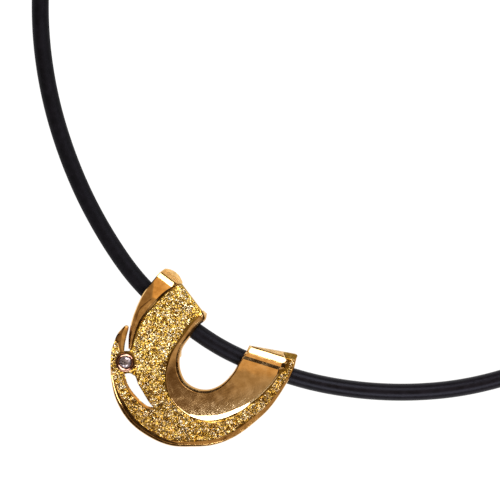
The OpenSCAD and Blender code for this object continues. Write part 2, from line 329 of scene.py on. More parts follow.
def spaced(points, gap):
    """Points at even distances along a closed outline."""
    p = np.vstack([points, points[:1]])
    far = np.concatenate([[0], np.cumsum(np.linalg.norm(np.diff(p, axis=0), axis=1))])
    s = np.linspace(0, far[-1], int(far[-1] / gap) + 1)[:-1]
    return np.column_stack([np.interp(s, far, p[:, k]) for k in (0, 1)])


def inside(points, outline):
    """Which points lie inside a closed outline."""
    hit = np.zeros(len(points), bool)
    for (x0, y0), (x1, y1) in zip(outline, np.roll(outline, -1, axis=0)):
        crosses = (y0 > points[:, 1]) != (y1 > points[:, 1])
        with np.errstate(divide="ignore", invalid="ignore"):
            at = x0 + (points[:, 1] - y0) * (x1 - x0) / (y1 - y0)
        hit ^= crosses & (points[:, 0] < at)
    return hit


def inset(points, depth):
    """An open line moved to its right-hand side by a depth, or by one depth for each point."""
    ahead = np.gradient(points, axis=0)
    ahead /= np.linalg.norm(ahead, axis=1)[:, None]
    return points + np.column_stack([ahead[:, 1], -ahead[:, 0]]) * np.reshape(depth, (-1, 1))


def how_far(points, line):
    """The distance from each point to the nearest of a line's own points."""
    found = KDTree(len(line))
    for i, p in enumerate(line):
        found.insert((*p, 0), i)
    found.balance()
    return np.array([found.find((*p, 0))[2] for p in points])


def in_metres(points):
    """Points of the pendant, in millimetres from its own middle, as places in the scene."""
    return (np.array(points, float) + [pendant_at[0], pendant_at[1], 0]) / 1000


def solid(name, points, faces, crease=35, deep=None):
    """A closed piece of the pendant, its faces turned outwards and its sharp edges kept."""
    mesh = bpy.data.meshes.new(name)
    mesh.from_pydata(in_metres(points).tolist(), [], faces)
    if deep is not None:
        mesh.attributes.new("deep", "FLOAT", "POINT").data.foreach_set("value", deep)
    work = bmesh.new()
    work.from_mesh(mesh)
    bmesh.ops.remove_doubles(work, verts=work.verts, dist=1e-7)
    bmesh.ops.recalc_face_normals(work, faces=work.faces)
    work.to_mesh(mesh)
    work.free()
    mesh.shade_smooth()
    mesh.set_sharp_from_angle(angle=math.radians(crease))
    return shown(name, mesh)


def gold(name, light, dark, gloss, grain, marks):
    """Polished or cast gold: two tones in clouds, an uneven gloss, and fine marks in the surface.

    The marks are given by their size, direction, stretch and depth and by the depth of broad waves.
    """
    finish, tree, skin = new_finish(name)
    skin.inputs["Metallic"].default_value = 1
    place = on_object(tree)
    cloud = put(tree, "ShaderNodeTexNoise", {"Vector": place, "Scale": 1000 / grain, "Detail": 5,
                                             "Roughness": 0.6}).outputs["Fac"]
    tree.links.new(two_tones(tree, cloud, 0.35, dark, 0.62, light), skin.inputs["Base Color"])
    rough = put(tree, "ShaderNodeMapRange", {"Value": cloud, "From Min": 0.3, "From Max": 0.7,
                                             "To Min": gloss[0], "To Max": gloss[1]})
    tree.links.new(rough.outputs[0], skin.inputs["Roughness"])
    size, direction, stretch, depth, wave_depth = marks
    fine = put(tree, "ShaderNodeMapping", {"Vector": place, "Rotation": (0, 0, direction),
                                           "Scale": (stretch, 1, 1)}, vector_type="TEXTURE").outputs[0]
    scratch = put(tree, "ShaderNodeTexNoise", {"Vector": fine, "Scale": 1000 / size, "Detail": 6,
                                               "Roughness": 0.65})
    waves = put(tree, "ShaderNodeTexNoise", {"Vector": place, "Scale": 450, "Detail": 1})
    bump = put(tree, "ShaderNodeBump", {"Height": waves.outputs["Fac"], "Strength": 1.0,
                                        "Distance": wave_depth / 1000})
    bump = put(tree, "ShaderNodeBump", {"Height": scratch.outputs["Fac"], "Strength": 1.0,
                                        "Distance": depth / 1000, "Normal": bump.outputs["Normal"]})
    tree.links.new(bump.outputs["Normal"], skin.inputs["Normal"])
    return finish


def fed_by(socket):
    """The socket that feeds another one."""
    return socket.links[0].from_socket


def toned(finish, way, start, end, colour):
    """Shades a gold towards a colour along one way over the pendant, and returns that share."""
    tree = finish.node_tree
    base = tree.nodes["Principled BSDF"].inputs["Base Color"]
    far = put(tree, "ShaderNodeVectorMath", {0: on_object(tree), 1: way}, operation="DOT_PRODUCT")
    share = put(tree, "ShaderNodeMapRange", {
        "Value": far.outputs["Value"], "From Min": start, "From Max": end},
        interpolation_type="SMOOTHSTEP").outputs[0]
    tree.links.new(mixed(tree, share, fed_by(base), colour, "MULTIPLY"), base)
    return share


# The cast gold is broken up into small facets that lean at random, and some cells are painted pale: partly a
# random tone, partly a painted highlight that whitens their glints
wander_by = 0.0009
cast_gold = gold("cast_gold", (0.50, 0.343, 0.07), (0.285, 0.142, 0.01), (0.1, 0.2), 0.8,
                 (0.16, 0, 1, 0.003, 0))
tree = cast_gold.node_tree
skin = tree.nodes["Principled BSDF"]
place = on_object(tree)
rough_here = put(tree, "ShaderNodeAttribute", attribute_name="relief").outputs["Fac"]
patches = put(tree, "ShaderNodeTexNoise", {"Vector": place, "Scale": 480, "Detail": 2}).outputs["Fac"]
patches = put(tree, "ShaderNodeMapRange", {"Value": patches, "From Min": 0.38, "From Max": 0.55,
                                           "To Min": 0.5, "To Max": 1.0}).outputs[0]
rough_here = sums(tree, "MULTIPLY", rough_here, patches)
bent = put(tree, "ShaderNodeTexNoise", {"Vector": place, "Scale": 1900, "Detail": 2}).outputs["Color"]
bent = vectors(tree, "SUBTRACT", bent, (0.5, 0.5, 0.5))
bent = vectors(tree, "ADD", place, vectors(tree, "SCALE", bent, wander_by))
normal = fed_by(skin.inputs["Normal"])
for size, strength in ((0.5, 0.22), (0.2, 0.5), (0.12, 0.9)):
    facets = put(tree, "ShaderNodeTexVoronoi", {"Vector": bent, "Scale": 1000 / size}).outputs["Color"]
    lean = vectors(tree, "SUBTRACT", facets, (0.5, 0.5, 0.5))
    lean = vectors(tree, "SCALE", lean, sums(tree, "MULTIPLY", rough_here, strength))
    normal = vectors(tree, "ADD", normal, lean)
normal = put(tree, "ShaderNodeVectorMath", {0: normal}, operation="NORMALIZE").outputs[0]
tree.links.new(normal, skin.inputs["Normal"])
# Painted highlight: random cells get a pale colour so that their glints look whiter
wear_and_glint = put(tree, "ShaderNodeTexVoronoi", {"Vector": bent, "Scale": 4600}).outputs["Color"]
wear_and_glint = put(tree, "ShaderNodeSeparateXYZ", {0: wear_and_glint}).outputs["Z"]
wear_and_glint = put(tree, "ShaderNodeMapRange", {"Value": wear_and_glint, "From Min": 0.64, "From Max": 0.88}).outputs[0]
wear_and_glint = mixed(tree, sums(tree, "MULTIPLY", wear_and_glint, rough_here), fed_by(skin.inputs["Base Color"]),
             (0.70, 0.65, 0.5))
tree.links.new(wear_and_glint, skin.inputs["Base Color"])

# Both the cast and the filed gold change their tone towards the bottom of the picture
downwards = (0.35, -1, 0)
toned(cast_gold, downwards, 0.044, 0.056, (0.74, 0.68, 0.66))
bright_gold = gold("bright_gold", (0.84, 0.57, 0.27), (0.72, 0.44, 0.17), (0.08, 0.18), 2.2,
                   (0.12, 0.15, 10, 0.003, 0.01))
filed_gold = gold("filed_gold", (0.86, 0.58, 0.28), (0.66, 0.42, 0.175), (0.08, 0.2), 1.4,
                  (0.24, 0.5, 14, 0.011, 0.04))
pale = toned(filed_gold, downwards, 0.0571, 0.0605, (1.2, 1.4, 1.85))
tree = filed_gold.node_tree
skin = tree.nodes["Principled BSDF"]
specks = put(tree, "ShaderNodeTexNoise", {"Vector": on_object(tree), "Scale": 5000, "Detail": 3})
rubbed = put(tree, "ShaderNodeBump", {"Height": specks.outputs["Fac"], "Strength": pale,
                                      "Distance": 0.00003, "Normal": fed_by(skin.inputs["Normal"])})
tree.links.new(rubbed.outputs["Normal"], skin.inputs["Normal"])
# Painted shade: the steep wall of the opening gets a deeper amber colour
in_opening = put(tree, "ShaderNodeAttribute", attribute_name="deep").outputs["Fac"]
painted_shade_on_lip = mixed(tree, in_opening, fed_by(skin.inputs["Base Color"]), (0.62, 0.33, 0.085))
tree.links.new(painted_shade_on_lip, skin.inputs["Base Color"])
blade_gold = gold("blade_gold", (0.93, 0.59, 0.235), (0.64, 0.38, 0.135), (0.06, 0.16), 1.3,
                  (0.18, 1.1, 12, 0.009, 0.02))

# Width of the polished rim at numbered points of the outer edge. The casting reaches a little way under
# the rim and under the crescent.
rim_width = np.interp(np.arange(len(outer_edge)), [4, 12, 20, 30, 40, 50, 80, 100, 118, 130, 134],
                      [0, 0.2, 0.25, 0.45, 0.7, 0.85, 0.95, 1.15, 1.35, 0.5, 0])
to_casting = np.maximum(0, rim_width - 0.12)
across = crescent_rows[:, 1] - crescent_rows[:, 0]
under_crescent = crescent_rows[:, 0] + across / np.linalg.norm(across, axis=1)[:, None] * 0.4
edge_step = 0.14
outline = spaced(np.vstack([
    [[-7.4, 14.2], [-6.3, 15.0], [-5.7, 14.6], [-3.75, 12.5], [-2.05, 10.15], [-0.4, 8.0]],
    under_crescent[2:-3], [[13.9, 0.7], [14.3, 0.72], [16.1, 0.35]],
    inset(outer_edge, to_casting)[2:], upper_slit, arm_side[1:-1]]), edge_step)
hole = spaced(slot, edge_step)

# The face is a fine net of triangles inside that outline, each point moved a little at random
rng = np.random.default_rng(7)
cell = 0.112
stray = 0.02
clear_of_edge = 0.07
col, row = np.meshgrid(np.arange(-17, 17.5, cell), np.arange(-16.5, 16, cell * 0.866))
net = np.column_stack([(col + cell / 2 * (np.arange(len(row)) % 2)[:, None]).ravel(), row.ravel()])
net += rng.uniform(-stray, stray, net.shape)
net = net[inside(net, outline) & ~inside(net, hole)]
edge = np.vstack([outline, hole])
net = net[how_far(net, edge) > clear_of_edge]
loops = [(i, (i + 1) % len(outline)) for i in range(len(outline))]
loops += [(len(outline) + i, len(outline) + (i + 1) % len(hole)) for i in range(len(hole))]
meshed = delaunay_2d_cdt([Vector(p) for p in np.vstack([edge, net])], loops, [], 0, 1e-7)
flat = np.array([(p.x, p.y) for p in meshed[0]])
faces = np.array([f[:] for f in meshed[2]])
middles = flat[faces].mean(axis=1)
faces = faces[inside(middles, outline) & ~inside(middles, hole)]
count = len(flat)
x, y = flat.T
top = rolled(x, y, face_z(x, y), cast_roll)
under_blade = inside(flat, np.array([[-6.4, 15.3], [-3.7, 12.8], [-4.8, 12.2], [-6.6, 11.1], [-8.4, 9.2],
                                     [-10.7, 6.4], [-13, 3], [-13, 8], [-9.5, 13]]))
top -= np.where(under_blade, np.interp(from_fold("left", x, y)[0], [1.6, 3.2], [1.5, 0.3]), 0)
thinnest = 0.05
low = np.minimum(under_z(x, y, wall - 0.03), top - thinnest)
border = {}
for f in faces:
    for a, b in ((f[0], f[1]), (f[1], f[2]), (f[2], f[0])):
        border[(a, b)] = border.get((a, b), 0) + 1
border = [(a, b) for a, b in border if (b, a) not in border]
cast_points = np.vstack([np.column_stack([flat, top]), np.column_stack([flat, low])])
cast_faces = faces.tolist() + [[f[0] + count, f[2] + count, f[1] + count] for f in faces]
cast_faces += [[b, a, a + count, b + count] for a, b in border]

# How high the nuggets stand at each point: less at the edges, along the polished blade and crescent,
# round the stone, at the crescent's lower end and on both folded edges
blade_side = eased([[-4.9, 12.0], [-6.4, 11.2], [-8.3, 9.4], [-10.6, 6.6], [-11.85, 3.9],
                    [-12.65, 1.2]], 12)
weight = np.interp(how_far(flat, edge), [0, 0.35], [0.35, 1])
weight *= np.interp(how_far(flat, np.vstack([blade_side, crescent_rows[:, 0]])), [0.12, 0.5], [0.05, 1])
for calm_at, calm_to, full_from in ((stone_at, 1.7, 2.3), ((13.5, -2.2), 0.5, 0.9)):
    weight *= np.interp(np.linalg.norm(flat - calm_at, axis=1), [calm_to, full_from], [0.1, 1])
weight[under_blade] = 0
for side, calm in (("left", 0.1), ("right", 1.1)):
    t, _, near = from_fold(side, x, y)
    weight = np.where(near, weight * np.interp(t, [calm * 0.6, calm + 0.4], [0.06, 1]), weight)
mesh = bpy.data.meshes.new("cast_face")
mesh.from_pydata(in_metres(cast_points).tolist(), [], cast_faces)
mesh.attributes.new("relief", "FLOAT", "POINT").data.foreach_set(
    "value", np.concatenate([weight, np.zeros(count)]).astype(np.float32))

# Three sizes of domed cells, wandering a little, lift the face into nuggets
tree, keys, given = new_tree("melted_nuggets", {
    "Nugget size": ("Float", 0.0018), "Nugget height": ("Float", 0.00015),
    "Lump size": ("Float", 0.0008), "Lump height": ("Float", 0.00006),
    "Grain size": ("Float", 0.00028), "Grain height": ("Float", 0.00003), "Seed": ("Float", 4.0)})
spot = put(tree, "GeometryNodeInputPosition").outputs[0]
wander = put(tree, "ShaderNodeTexNoise", {"Vector": spot, "Scale": 700.0, "Detail": 2.0})
wander = vectors(tree, "SUBTRACT", wander.outputs["Color"], (0.5, 0.5, 0.5))
spot = vectors(tree, "ADD", spot, vectors(tree, "SCALE", wander, wander_by))
mean_rise = 0.00018
rise = None
for kind in ("Nugget", "Lump", "Grain"):
    scale = sums(tree, "DIVIDE", 1.0, given[kind + " size"])
    cells = put(tree, "ShaderNodeTexVoronoi",
                {"Vector": spot, "Scale": scale, "W": given["Seed"]}, voronoi_dimensions="4D")
    squared = sums(tree, "POWER", cells.outputs["Distance"], 2.0)
    dome = sums(tree, "SUBTRACT", 1.0, sums(tree, "MULTIPLY", squared, 1.6))
    share = sums(tree, "MULTIPLY", sums(tree, "MAXIMUM", dome, 0.0), given[kind + " height"])
    rise = share if rise is None else sums(tree, "ADD", rise, share)
held = put(tree, "GeometryNodeInputNamedAttribute", {"Name": "relief"}, data_type="FLOAT").outputs[0]
rise = sums(tree, "MULTIPLY", sums(tree, "SUBTRACT", rise, mean_rise), held)
lift = put(tree, "ShaderNodeCombineXYZ", {"Z": rise}).outputs[0]
moved = put(tree, "GeometryNodeSetPosition", {"Geometry": given["Geometry"], "Offset": lift})
end_tree(tree, moved.outputs[0], cast_gold)
cast_face = worked_out(shown("cast_face", mesh), tree, keys)
cast_face.data.shade_smooth()
cast_face.data.set_sharp_from_angle(angle=math.radians(70))
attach(cast_face, "root")
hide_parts("pendant")


# The crescent is the same casting, filed flat and polished round the opening. It stands a little proud
# of the nuggets, its outer edge is bevelled, its inner lip rounded, and it rolls over both arm ends.
def loft(rings):
    """Points and faces of a solid through closed rings of points, with flat ends."""
    count, sides = len(rings), len(rings[0])
    faces = [[i * sides + k, (i + 1) * sides + k, (i + 1) * sides + (k + 1) % sides,
              i * sides + (k + 1) % sides] for i in range(count - 1) for k in range(sides)]
    faces += [list(range(sides)), [(count - 1) * sides + k for k in range(sides - 1, -1, -1)]]
    return np.vstack(rings), faces


# One section for each row across the crescent. The tables run over s, which counts the pairs of points
# that the rows are eased from, and past 16 the cuts where the gold rolls over the right arm's cord. The
# bevel and the lip take the face's height from the two edges of the flat.
crescent_rise = 0.35
flat_from, flat_to = 4, 12
rings = []
for i, (outer, inner) in enumerate(crescent_rows):
    s = i / 12
    width = np.linalg.norm(inner - outer)
    bevel = min(np.interp(s, [0, 9.8, 10.3, 11, 12, 13, 13.7, 14.2, 15.5, 16, 16.25, 16.42, 16.58,
                              16.67, 16.75, 16.83, 16.92],
                          [0.15, 0.15, 0.45, 0.85, 0.9, 0.75, 0.35, 0.25, 0.22, 0.35, 0.75, 0.75, 1.0,
                           0.6, 0.5, 0.75, 0.85]), width / 4)
    lip = min(np.interp(s, [0, 2, 5, 11, 14, 16.5, 16.58, 16.7, 16.83, 17],
                        [0.6, 0.8, 0.85, 0.8, 0.4, 0.28, 0.5, 0.28, 0.5, 0.5]), width * 0.6)
    step = bevel * np.interp(s, [0, 9.8, 10.2, 13.6, 14, 16, 16.2, 16.6, 16.7],
                             [0.27, 0.27, 0.42, 0.42, 0.7, 0.7, 0.6, 0.6, 0.45])
    lean = np.interp(s, [0, 3, 4.5, 6.5, 14, 16.5], [-0.1, -0.14, -0.1, 0.06, 0.06, 0])
    flat_h = crescent_rise - np.interp(s, [0, 3, 14, 16.5], [0, 0.1, 0.1, 0])
    section = [(0, -0.9), (0, flat_h - step - 0.12), (0.03, flat_h - step)]
    section += [(bevel * 0.5, flat_h - step * 0.5), (bevel, flat_h)]
    for share in (0.05, 0.2, 0.35, 0.5, 0.65, 0.8, 0.95, 1):
        d = bevel + (width - bevel - lip) * share
        section.append((d, flat_h + lean * (d - bevel)))
    d, h = section[-1]
    eases = np.interp(s, [0, 1, 2.5, 3.5, 4.3, 5, 6], [0.45, 0.55, 0.66, 0.74, 0.78, 0.88, 1])
    for share, tilt in ((0.12, 12 * eases), (0.4, 35 * eases), (0.18, 47 * eases), (0.3, 64)):
        d, h = d + lip * share, h - lip * share * math.tan(math.radians(tilt))
        section.append((d, h))
    across = (inner - outer) / width
    place = np.array([outer + across * d for d, h in section])
    face = face_z(place[:, 0], place[:, 1])
    face[:flat_from], face[flat_to + 1:] = face[flat_from], face[flat_to]
    z = rolled(place[:, 0], place[:, 1], face + [h for d, h in section], polished_roll)
    z[0] = np.minimum(z[0], z[1] - thinnest)
    below = under_z(place[[-1, 0], 0], place[[-1, 0], 1], wall)
    below = np.minimum(below, z[[-1, 0]] - thinnest)
    base = np.column_stack([place[[-1, 0]], below])
    rings.append(np.vstack([np.column_stack([place, z]), base]))
# The points of the opening's steep wall, where the filed gold is darkened as painted shade
wall_of_opening = ([0] * (len(section) - 2) + [1] * 4) * len(rings)
crescent = solid("polished_crescent", *loft(rings), crease=11, deep=wall_of_opening)
crescent.data.materials.append(filed_gold)
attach(crescent, "root")
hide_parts("pendant")


# The blade is a polished, creased leaf of gold soldered along the left arm. It narrows to a point by
# the stone, and its wide end rolls over the cord with the arm.
blade_rows = eased(np.array([
    [[-6.8, 15.25], [-6.35, 15.25], [-3.7, 12.9]], [[-7.5, 14.75], [-7.1, 14.5], [-3.85, 12.5]],
    [[-8.1, 14.1], [-7.8, 13.9], [-4.7, 12.1]], [[-9.4, 12.5], [-9.1, 12.3], [-6.4, 11.2]],
    [[-10.85, 10.4], [-10.4, 10.25], [-8.3, 9.4]], [[-12.3, 7], [-11.6, 6.9], [-10.6, 6.6]],
    [[-13.05, 3.8], [-12.6, 3.8], [-11.85, 3.9]],
    [[-13.15, 1.3], [-12.95, 1.3], [-12.65, 1.2]]]).reshape(-1, 6), 12).reshape(-1, 3, 2)
blade_fold_at = np.array([-3.3, 13.2])


def lower_of(one, other):
    """The lower of two heights, rounded where they meet."""
    round_off = 0.08
    return (np.minimum(one, other)
            - np.maximum(0, round_off - np.abs(one - other)) ** 2 / (4 * round_off))


blade_drop = drop_by([(2.3, 0), (2.299, 11), (1.5, 15), (1.49, 29), (1.32, 29), (1.31, 38),
                      (0.6, 40), (0.2, 44), (-0.1, 49), (-0.3, 56)])
# One section for each row across the blade: a foot, a narrow bevel, the left side up to the crest, the
# right side, a steeper edge and a foot. Its wide end is ground to three planes instead.
foot = -0.5
left_bevel = 0.16
right_bevel_slope = 0.64
full_width = 2.6
rings = []
for i, (left, crest, right) in enumerate(blade_rows):
    s = i / (len(blade_rows) - 1)
    size = min(1, np.linalg.norm(right - left) / full_width)
    high = np.interp(s, [0, 0.2, 0.4, 0.7, 1], [0.72, 0.72, 0.78, 0.88, 0.8]) * size
    left_h = np.interp(s, [0, 0.35, 0.6, 1], [0.68, 0.68, 0.45, 0.3]) * size
    right_h = np.interp(s, [0, 0.2, 0.4, 0.6, 0.8, 1], [0.66, 0.6, 0.55, 0.74, 0.82, 0.75]) * size
    left_width, right_width = np.linalg.norm(crest - left), np.linalg.norm(right - crest)
    narrow = min(np.interp(s, [0, 0.1, 0.26, 0.34, 1], [0.9, 0.95, 0.9, 0.4, 0.3]), right_width * 0.4)
    right_bevel = narrow * right_bevel_slope
    bulge = np.array([0.6, 0.8]) * np.interp(s, [0, 0.3], [0.5, 0])
    place, h = [left, left], [foot, left_h - left_bevel]
    for share in (min(left_bevel / left_width, 0.5), 0.5, 0.97):
        place.append(left + (crest - left) * share)
        h.append(left_h + (high - left_h) * share)
    for share in (1 - narrow / right_width) * np.linspace(0.03, 1, 13):
        place.append(crest + (right - crest) * share + bulge * 4 * share * (1 - share))
        h.append(high + (right_h - high) * share)
    place += [right, right]
    h += [h[-1] - right_bevel, foot]
    place = np.array(place)
    t = (place - blade_fold_at) @ [-0.6, -0.8]
    wide = np.interp(s, [0.58, 0.85], [1, 0])
    cuts = [foot, -0.19] + [0] * (len(h) - 4) + [-right_bevel, foot]
    upper = 5.96 - (place - [-10.3, 11]) @ [0.105, 0.145]
    lower = 5.94 - (place - [-9.3, 10]) @ [0.018, -0.2]
    facing_left = 5.44 + 0.3 * np.linalg.norm(place - left, axis=1)
    leaf = lower_of(lower_of(upper, lower), facing_left) + cuts
    top = (1 - wide) * (face_z(place[:, 0], place[:, 1]) + h) + wide * leaf - np.interp(t, *blade_drop)
    top = np.maximum(top, roll_end)
    top[0], top[-1] = min(top[0], top[1] - 0.4), min(top[-1], top[-2] - 0.4)
    rings.append(np.column_stack([place, top]))
blade = solid("polished_blade", *loft(rings), crease=11)
blade.data.materials.append(blade_gold)
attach(blade, "root")
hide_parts("pendant")


# The edges of the casting are filed round and polished: a band along the outer rim, a narrow one on the
# slot's left side, and the tine that stands free beside the slit, with a facet on each side of its ridge.
def band(name, line, shape, ends):
    """A closed band along a line, from a section of distances to its right and heights on the face.

    It narrows towards its ends, over a number of the line's points.
    """
    end_share = 0.25
    off_table = 0.02
    middles = inset(line, 0.4)
    last = len(line) - 1
    rings = []
    for i in range(len(line)):
        section = shape(i / last)
        near = min(1, min(i, last - i) / ends)
        size = end_share + (1 - end_share) * math.sin(near * math.pi / 2)
        rows = [inset(line, d * size)[i] for d, h in section]
        face = float(face_z(*middles[i]))
        rings.append(np.column_stack([rows, [max(off_table, face + h) for d, h in section]]))
    return solid(name, *loft(rings), crease=11)


# The rim runs between these two numbered points of the outer edge
rim_start, rim_stop = 6, 136


def rim_section(s):
    """The rim's section: a thin bright edge, a broad chamfer, a rounding and the filed side."""
    at = rim_start + s * (rim_stop - rim_start)
    broad = max(0.3, np.interp(at, np.arange(len(rim_width)), rim_width))
    edge = max(0.13, broad * np.interp(s, [0, 0.4, 0.6, 1], [0.12, 0.15, 0.34, 0.34]))
    bright_to, chamfer_from = edge + 0.14, broad - 0.13
    chamfer_to = np.interp(s, [0.57, 0.7], [bright_to, chamfer_from])
    chamfer = np.interp(s, [0.4, 0.47, 0.62, 0.68], [9, -4, -4, 9])
    d, h = broad, 0.02
    section = [(d, -0.4), (d, h)]
    for to, slope in ((chamfer_from, -12), (chamfer_to, chamfer), (bright_to, 35), (edge, 12), (0.09, 36),
                      (0, 65)):
        d, h = to, h - (d - to) * math.tan(math.radians(slope))
        section.append((d, h))
    return section + [(0, -1.8), (0.15, -1.97), (0.8, -1.97)]


def slot_section(_):
    """The section of the slot's rim, the same all along: rounded over steeply."""
    return [(0.52, -0.3), (0.5, 0.02), (0.42, 0.08), (0.1, 0.03), (0, -0.05), (0, -1.2), (0.1, -1.42),
            (0.5, -1.42)]


rim = band("polished_rim", outer_edge[rim_start:rim_stop], rim_section, 6)
slot_edge = band("slot_rim", eased([[-13.9, -2.9], [-13.4, -4.6], [-12.7, -5.9], [-11.8, -7],
                                    [-10.8, -8], [-9.8, -8.7], [-8.7, -9.0]], 8),
                 slot_section, 5)
tine_rows = eased(np.array([
    [[-14.7, 0.7], [-14.3, 0.7], [-13.9, 0.7]], [[-15.05, 2.0], [-14.45, 2.1], [-13.78, 2.0]],
    [[-15.4, 3.0], [-14.35, 3.1], [-13.6, 3.0]], [[-15.0, 3.95], [-14.2, 4.0], [-13.35, 3.9]],
    [[-14.35, 4.75], [-13.85, 4.8], [-13.12, 4.8]],
    [[-13.95, 5.15], [-13.6, 5.25], [-13.15, 5.2]], [[-13.7, 5.35], [-13.5, 5.4], [-13.3, 5.35]],
]).reshape(-1, 6), 8).reshape(-1, 3, 2)
rings = []
for i, (left, crest, right) in enumerate(tine_rows):
    s = i / (len(tine_rows) - 1)
    high = 0.55 * np.interp(s, [0, 0.3, 0.8, 1], [0.9, 1, 0.1, -0.6])
    edge = max(0, high - 0.25 * np.linalg.norm(crest - left))
    place = np.array([left, left, left * 0.8 + crest * 0.2, crest, crest * 0.3 + right * 0.7, right, right])
    h = [foot, edge - 0.1, edge, high, high - 0.07, high - 0.2, -1.3]
    rings.append(np.column_stack([place, face_z(place[:, 0], place[:, 1]) + h]))
tine = solid("polished_tine", *loft(rings), crease=14)
for piece in (rim, slot_edge, tine):
    piece.data.materials.append(blade_gold)
    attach(piece, "root")
    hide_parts("pendant")


# Each arm's end is one strap of gold sheet, folded back under the arm into a flat bail that slides on
# the cord. Its edges are rounded, its outside is polished, and it keeps inside the horseshoe's outline.
horseshoe = np.vstack([
    [[-7.5, 14.3], [-6.2, 15.2], [-5.4, 14.9], [-3.8, 13.0], [-2, 10.2], [0, 8.0], [0.5, 7.4]],
    crescent_rows[:, 1], [[8.0, 1.85], [13.9, 0.7], [16.1, 0.5]], outer_edge, upper_slit, arm_side])
horseshoe = spaced(horseshoe, 0.2)
strap = 0.7
corner = 0.1
inside_outline = 0.3
under_face = 0.45
for side, name in (("left", "left_bail"), ("right", "right_bail")):
    a, b = np.array(folds[side]["ends"], float)
    along = (b - a) / np.linalg.norm(b - a)
    into = np.array([-along[1], along[0]])
    u, v = (horseshoe - a) @ along, (horseshoe - a) @ into
    near, far = face_h / 2, face_h / 2 - 0.25
    turns = [(near, near, r) for r in np.radians(np.linspace(90, 270, 28))]
    turns += [(folds[side]["reach"] - far, far, r) for r in np.radians(np.linspace(270, 450, 28))]
    rings = []
    for middle, radius, r in turns:
        outer = radius - (under_face * math.sin(r) if math.sin(r) > 0 else 0)
        inner = radius - strap
        t = max(middle + outer * math.cos(r), 0.12)
        ends = [u[i] + (t - v[i]) / (v[i - 1] - v[i]) * (u[i - 1] - u[i]) for i in range(len(u))
                if (v[i - 1] - t) * (v[i] - t) < 0]
        centre = 4.5
        lo = max([e for e in ends if e < centre], default=0) + inside_outline
        hi = min([e for e in ends if e > centre], default=8) - inside_outline
        ring = []
        for u_at, out in ((lo + corner, outer), (hi - corner, outer), (hi, outer - 0.12),
                          (hi, inner + corner), (hi - corner, inner), (lo + corner, inner),
                          (lo, inner + corner), (lo, outer - 0.12)):
            flat_at = a + along * u_at + into * (middle + out * math.cos(r))
            ring.append((*flat_at, radius + out * math.sin(r)))
        rings.append(np.array(ring))
    points, faces = loft(rings + [rings[0]])
    bail = solid(name, points, faces[:-2], crease=40)
    bail.data.materials.append(bright_gold)
    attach(bail, "root")
    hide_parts("pendant")


# The bezel is a short tube of rose gold with a collar at its foot, burnished over the stone's edge and
# soldered where the slit and the slot meet. A small bead of solder gold stands beside it.
def turned(name, middle, profile, sides):
    """A round piece of gold, turned from a closed profile of radii and heights."""
    rings = [[(middle[0] + r * math.cos(a), middle[1] + r * math.sin(a), z) for r, z in profile]
             for a in np.radians(np.linspace(0, 360, sides, endpoint=False))]
    points, faces = loft([np.array(ring) for ring in rings + rings[:1]])
    return solid(name, points, faces[:-2], crease=40)


bezel_rise = 0.9
stone_z = float(face_z(*stone_at)) + bezel_rise
rose_gold = gold("rose_gold", (0.46, 0.28, 0.21), (0.19, 0.07, 0.05), (0.08, 0.18), 0.7,
                 (0.12, 0, 1, 0.003, 0))
bezel = turned("bezel", stone_at, [
    (1.02, stone_z - 1.25), (1.02, stone_z - 0.3), (1.08, stone_z - 0.13), (1.16, stone_z - 0.07),
    (1.3, stone_z - 0.02), (1.38, stone_z - 0.05), (1.52, stone_z - 0.15), (1.54, stone_z - 0.62),
    (1.58, stone_z - 0.7), (1.65, stone_z - 0.72), (1.7, stone_z - 0.78), (1.7, stone_z - 1.5),
    (1.6, stone_z - 2), (1.1, stone_z - 2)], 72)
bezel.data.materials.append(rose_gold)
bead = turned("bezel_bead", (-12.15, -2.95), [
    (0.001, -0.6 + stone_z - bezel_rise), (0.3, -0.5 + stone_z - bezel_rise), (0.42, stone_z - 0.95),
    (0.36, stone_z - 0.72), (0.2, stone_z - 0.58), (0.001, stone_z - 0.54)], 24)
bead.data.materials.append(cast_gold)
for piece in (bezel, bead):
    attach(piece, "root")
    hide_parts("pendant")


# The diamond is a round brilliant of 2.2 mm, held at its girdle: a table, eight kites, a thin girdle
# and a pavilion that comes to a point.
girdle_z = stone_z - 0.32
girdle_r = 1.07
culet_z = girdle_z - 0.88
eighth = math.pi / 4
# The rings of its corners from the table down: radius, height and the directions of the corners
rings = [(0.6, stone_z - 0.02, np.arange(8) * eighth), (0.85, stone_z - 0.15, (np.arange(8) + 0.5) * eighth),
         (girdle_r, girdle_z + 0.03, np.arange(32) * eighth / 4),
         (girdle_r, girdle_z - 0.03, np.arange(32) * eighth / 4),
         (0.52, girdle_z - 0.5, (np.arange(8) + 0.5) * eighth), (0, culet_z, [0])]
work = bmesh.new()
for r, z, directions in rings:
    for a in directions:
        work.verts.new((r * math.cos(a) + stone_at[0], r * math.sin(a) + stone_at[1], z))
bmesh.ops.convex_hull(work, input=work.verts)
bmesh.ops.dissolve_limit(work, angle_limit=math.radians(1), verts=work.verts, edges=work.edges)
points = [tuple(v.co) for v in work.verts]
work.verts.index_update()
faces = [[v.index for v in f.verts] for f in work.faces]
work.free()
diamond = solid("cut_diamond", points, faces, crease=5)
clear, tree, skin = new_finish("cut_stone")
